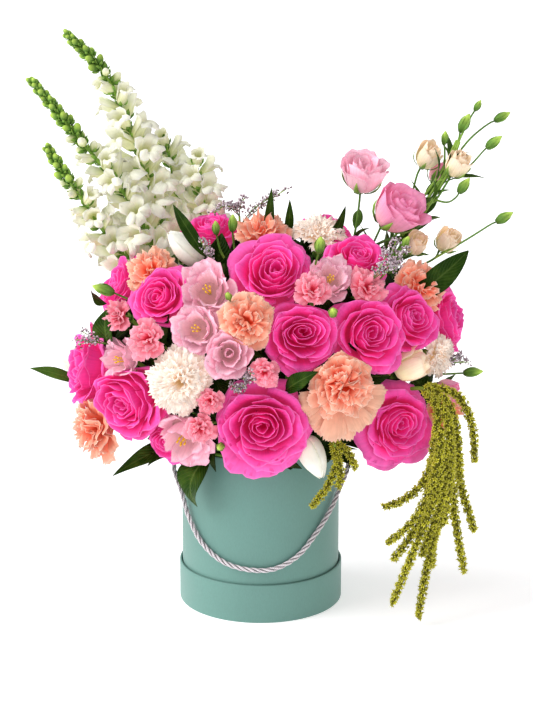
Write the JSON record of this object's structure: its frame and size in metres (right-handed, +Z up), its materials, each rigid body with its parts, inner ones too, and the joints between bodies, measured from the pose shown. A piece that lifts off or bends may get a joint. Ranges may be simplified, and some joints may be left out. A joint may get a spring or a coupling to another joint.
{
  "type": "mixed flower box",
  "caption": "Round hat box standing in its lid, cord handle across the front, filled with foam and a front-facing mix of roses, carnations, lisianthus, snapdragons and hanging amaranthus.",
  "frame": {"origin": "on the box axis, on the flat underside of the lid that the box stands in", "axes": "+Z up along the box axis, -Y towards the viewer that the arrangement faces, +X to the viewer's right"},
  "size_m": [0.4704, 0.2722, 0.5672],
  "materials": {
    "card": "satin",
    "liner_film": "gloss",
    "wet_foam": "matte",
    "cord": "satin",
    "rose_petal": "satin",
    "peach_petal": "matte",
    "cream_petal": "matte",
    "pale_pink_petal": "satin",
    "pink_petal": "satin",
    "white_petal": "satin",
    "amaranthus": "matte",
    "sea_lavender": "matte",
    "leaf": "satin"
  },
  "bodies": {
    "root": {"box_body": "card", "box_lid": "card", "foam_liner": "liner_film", "handle_cord": "cord", "knot_left": "cord", "knot_right": "cord", "rose_top": "rose_petal", "rose_middle": "rose_petal", "rose_middle_right": "rose_petal", "rose_right": "rose_petal", "rose_upper_left": "rose_petal", "rose_upper_right": "rose_petal", "rose_low_left": "rose_petal", "rose_front": "rose_petal", "rose_low_right": "rose_petal", "rose_left_side": "rose_petal", "rose_right_side": "rose_petal", "rose_left_behind": "rose_petal", "rose_top_left": "rose_petal", "rose_top_right": "rose_petal", "rose_under_left": "rose_petal", "rose_back": "rose_petal", "carnation_peach_top": "peach_petal", "carnation_peach_middle": "peach_petal", "carnation_peach_front": "peach_petal", "carnation_peach_upper_left": "peach_petal", "carnation_peach_low_left": "peach_petal", "carnation_peach_right": "peach_petal", "carnation_peach_low_right": "peach_petal", "carnation_peach_back_left": "peach_petal", "carnation_peach_back_right": "peach_petal", "carnation_cream_left": "cream_petal", "carnation_cream_top": "cream_petal", "carnation_cream_right": "cream_petal", "carnation_cream_back": "cream_petal", "lisianthus_upper_left": "pale_pink_petal", "lisianthus_upper_right": "pale_pink_petal", "lisianthus_low_left": "pale_pink_petal", "spray_carnations_left": "pink_petal", "spray_carnations_low": "pink_petal", "spray_carnations_right": "pink_petal", "lisianthus_buds_right": "pale_pink_petal", "tulip_upper_left": "white_petal", "tulip_front": "white_petal", "tulip_left_side": "white_petal", "snapdragon_tallest": "white_petal", "snapdragon_second": "white_petal", "snapdragon_lowest": "white_petal", "snapdragon_middle": "white_petal", "snapdragon_short": "white_petal", "lisianthus_pink_upper": "pink_petal", "lisianthus_pink_lower": "pink_petal", "lisianthus_bunch": "leaf", "amaranthus_right": "amaranthus", "amaranthus_front": "amaranthus", "limonium_left": "sea_lavender", "limonium_right": "sea_lavender", "foliage_collar": "leaf", "foliage_back": "leaf", "floral_foam": "wet_foam"}
  },
  "joints": []
}
